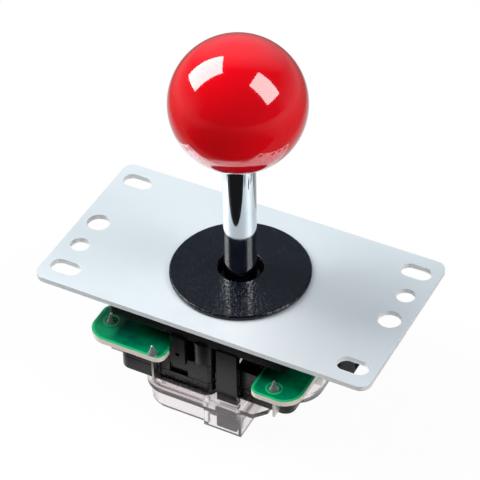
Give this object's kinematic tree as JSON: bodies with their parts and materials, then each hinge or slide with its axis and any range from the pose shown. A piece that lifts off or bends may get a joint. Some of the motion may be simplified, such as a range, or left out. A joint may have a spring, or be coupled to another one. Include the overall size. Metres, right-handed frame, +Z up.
{
  "type": "arcade joystick",
  "caption": "Ball-top arcade joystick lever on a flat steel mounting plate, with microswitches, circuit board and a clear square gate.",
  "frame": {"origin": "lever axis at the top face of the mounting plate, centre of the four panel slots", "axes": "+X along the plate's long side towards the connector, -Y towards the near long side, +Z up to the ball"},
  "size_m": [0.096, 0.0604, 0.1044],
  "materials": {
    "plate_steel": "satin zinc-plated sheet",
    "zinc_steel": "zinc plated",
    "black_moulding": "fine moulded grain",
    "washer_black": "fine moulded grain, slight sheen",
    "ball_red": "polished",
    "brass": "turned",
    "chrome_shaft": "polished chrome",
    "white_acetal": "smooth",
    "black_acetal": "smooth",
    "board_green": "glossy solder mask",
    "solder": "solder",
    "clear_polycarbonate": "clear, transparent",
    "connector_dark": "moulded",
    "tin": "tin plated",
    "switch_brown": "moulded",
    "plunger_black": "moulded"
  },
  "bodies": {
    "base": {"mounting_plate": "plate_steel", "plate_screws": "zinc_steel", "housing": "black_moulding", "dust_washer": "washer_black", "spring_seat": "zinc_steel", "circuit_board": "board_green", "solder_joints": "solder", "gate": "clear_polycarbonate", "connector_housing": "connector_dark", "connector_pins": "tin", "switch_case_front": "switch_brown", "switch_cover_front": "switch_brown", "terminals_front": "tin", "switch_case_right": "switch_brown", "switch_cover_right": "switch_brown", "terminals_right": "tin", "switch_case_back": "switch_brown", "switch_cover_back": "switch_brown", "terminals_back": "tin", "switch_case_left": "switch_brown", "switch_cover_left": "switch_brown", "terminals_left": "tin"},
    "spring": {"return_spring": "zinc_steel"},
    "pivot": {"pivot_ball": "black_acetal"},
    "lever": {"lever_shaft": "chrome_shaft", "ball_top": "ball_red", "ball_insert": "brass", "actuator": "white_acetal", "retaining_clip": "zinc_steel"},
    "plunger_front": {"plunger_front": "plunger_black"},
    "plunger_right": {"plunger_right": "plunger_black"},
    "plunger_back": {"plunger_back": "plunger_black"},
    "plunger_left": {"plunger_left": "plunger_black"}
  },
  "joints": [
    {"name": "tilt_x", "type": "hinge", "parent": "base", "child": "spring", "pos_m": [0, 0, -0.006], "axis": [1, 0, 0], "range_deg": [-8, 8], "stiffness_Nm_per_rad": 0.35, "deforming": ["return_spring"]},
    {"name": "tilt_y", "type": "hinge", "parent": "spring", "child": "pivot", "pos_m": [0, 0, -0.006], "axis": [0, 1, 0], "range_deg": [-8, 8], "stiffness_Nm_per_rad": 0.35},
    {"name": "lever_spin", "type": "hinge", "parent": "pivot", "child": "lever", "pos_m": [0, 0, -0.006], "axis": [0, 0, 1], "continuous": true},
    {"name": "press_front", "type": "slide", "parent": "base", "child": "plunger_front", "axis": [0, -1, 0], "range_m": [-0.00165, 0.00165]},
    {"name": "press_right", "type": "slide", "parent": "base", "child": "plunger_right", "axis": [1, 0, 0], "range_m": [-0.00165, 0.00165]},
    {"name": "press_back", "type": "slide", "parent": "base", "child": "plunger_back", "axis": [0, 1, 0], "range_m": [-0.00165, 0.00165]},
    {"name": "press_left", "type": "slide", "parent": "base", "child": "plunger_left", "axis": [-1, 0, 0], "range_m": [-0.00165, 0.00165]}
  ],
  "couplings": [
    {"joint": "press_front", "follows": "tilt_x", "m_per_rad": -0.0118},
    {"joint": "press_right", "follows": "tilt_y", "m_per_rad": -0.0118},
    {"joint": "press_back", "follows": "tilt_x", "m_per_rad": 0.0118},
    {"joint": "press_left", "follows": "tilt_y", "m_per_rad": 0.0118}
  ]
}
